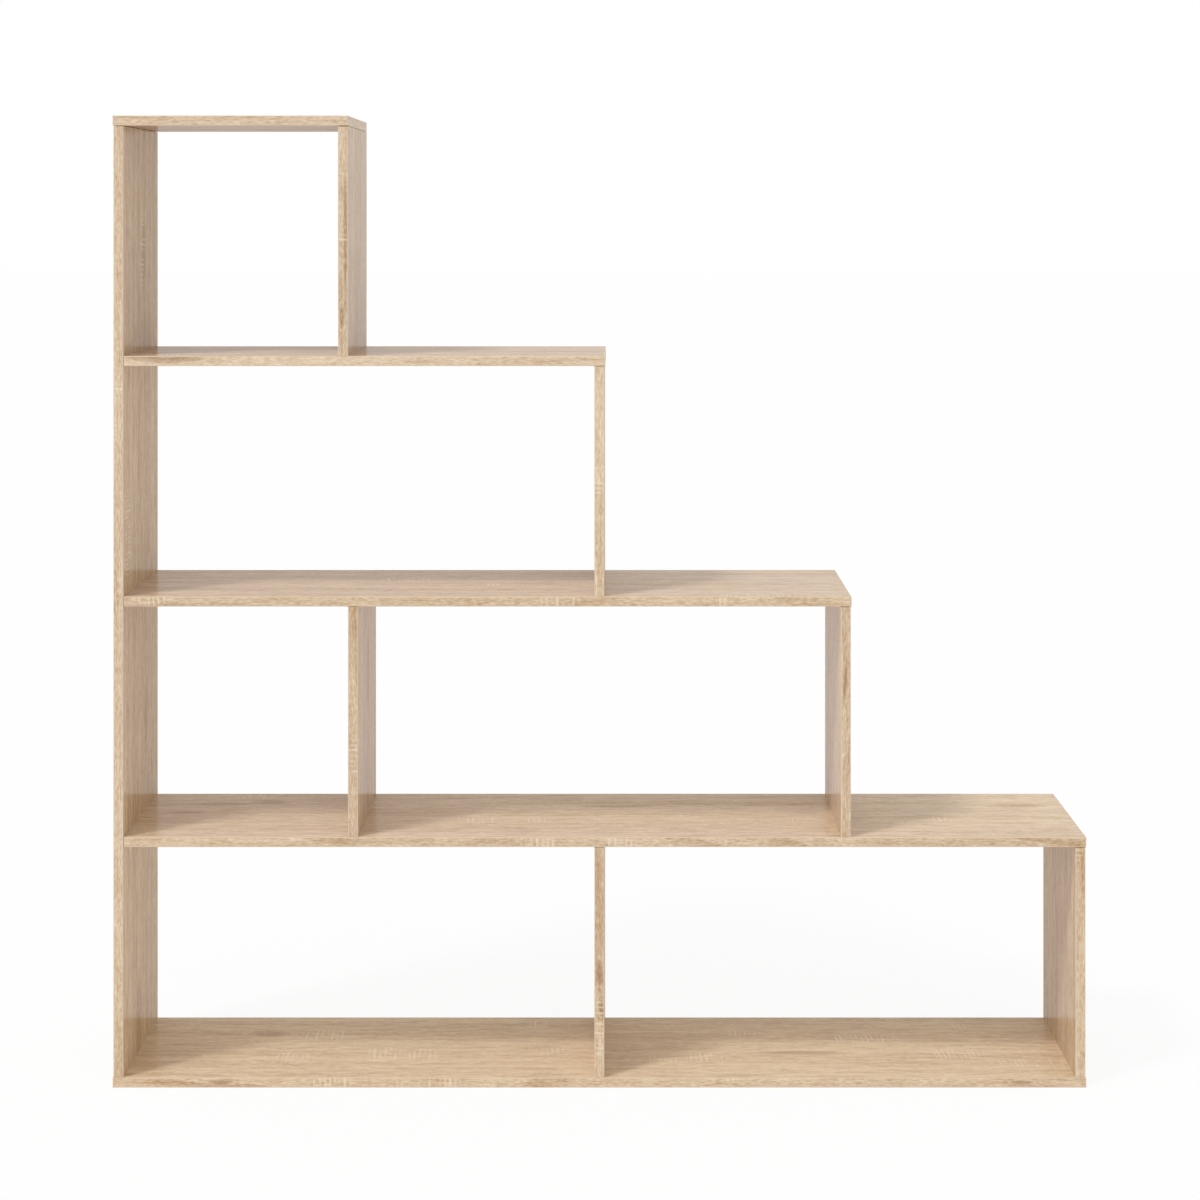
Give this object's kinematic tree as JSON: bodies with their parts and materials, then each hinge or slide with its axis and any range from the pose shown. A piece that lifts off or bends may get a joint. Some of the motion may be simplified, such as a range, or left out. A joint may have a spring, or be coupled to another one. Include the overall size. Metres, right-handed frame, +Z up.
{
  "type": "staircase bookshelf",
  "caption": "Open staircase bookshelf without a back, in oak-look laminated board: stepped tiers of square-edged boards, joined by screws, cams and dowels.",
  "frame": {"origin": "on the floor, under the middle of the base board", "axes": "+X to the viewer's right, from the tall side down the steps; +Y from the front to the back; +Z up"},
  "size_m": [1.4524, 0.29, 1.45],
  "materials": {
    "oak_decor_board": "melamine laminate with a pale oak print, satin",
    "edge_band": "ABS edge band with a pale oak print, satin",
    "steel_screw": "zinc-plated",
    "zinc_cam": "die-cast zinc, bright",
    "beech_dowel": "turned beech, bare"
  },
  "bodies": {
    "root": {"base_board": "oak_decor_board", "lower_shelf": "oak_decor_board", "middle_shelf": "oak_decor_board", "upper_shelf": "oak_decor_board", "top_board": "oak_decor_board", "left_side": "oak_decor_board", "bottom_tier_side": "oak_decor_board", "bottom_tier_divider": "oak_decor_board", "third_tier_side": "oak_decor_board", "third_tier_divider": "oak_decor_board", "second_tier_side": "oak_decor_board", "top_tier_side": "oak_decor_board", "screw_left_side_foot_front": "steel_screw", "screw_left_side_foot_back": "steel_screw", "screw_bottom_tier_divider_foot_front": "steel_screw", "screw_bottom_tier_divider_foot_back": "steel_screw", "screw_bottom_tier_side_foot_front": "steel_screw", "screw_bottom_tier_side_foot_back": "steel_screw", "screw_third_tier_divider_foot_front": "steel_screw", "screw_third_tier_divider_foot_back": "steel_screw", "screw_third_tier_side_foot_front": "steel_screw", "screw_third_tier_side_foot_back": "steel_screw", "screw_second_tier_side_foot_front": "steel_screw", "screw_second_tier_side_foot_back": "steel_screw", "screw_top_tier_side_foot_front": "steel_screw", "screw_top_tier_side_foot_back": "steel_screw", "screw_lower_shelf_end_front": "steel_screw", "screw_lower_shelf_end_back": "steel_screw", "screw_middle_shelf_end_front": "steel_screw", "screw_middle_shelf_end_back": "steel_screw", "screw_upper_shelf_end_front": "steel_screw", "screw_upper_shelf_end_back": "steel_screw", "cam_bolt_left_side_front": "steel_screw", "cam_bolt_left_side_back": "steel_screw", "cam_left_side_front": "zinc_cam", "cam_left_side_back": "zinc_cam", "cam_bolt_top_tier_side_front": "steel_screw", "cam_bolt_top_tier_side_back": "steel_screw", "cam_top_tier_side_front": "zinc_cam", "cam_top_tier_side_back": "zinc_cam", "cam_bolt_second_tier_side_front": "steel_screw", "cam_bolt_second_tier_side_back": "steel_screw", "cam_second_tier_side_front": "zinc_cam", "cam_second_tier_side_back": "zinc_cam", "cam_bolt_third_tier_side_front": "steel_screw", "cam_bolt_third_tier_side_back": "steel_screw", "cam_third_tier_side_front": "zinc_cam", "cam_third_tier_side_back": "zinc_cam", "cam_bolt_bottom_tier_side_front": "steel_screw", "cam_bolt_bottom_tier_side_back": "steel_screw", "cam_bottom_tier_side_front": "zinc_cam", "cam_bottom_tier_side_back": "zinc_cam", "dowel_third_tier_divider_front": "beech_dowel", "dowel_third_tier_divider_back": "beech_dowel", "dowel_bottom_tier_divider_front": "beech_dowel", "dowel_bottom_tier_divider_back": "beech_dowel"}
  },
  "joints": []
}
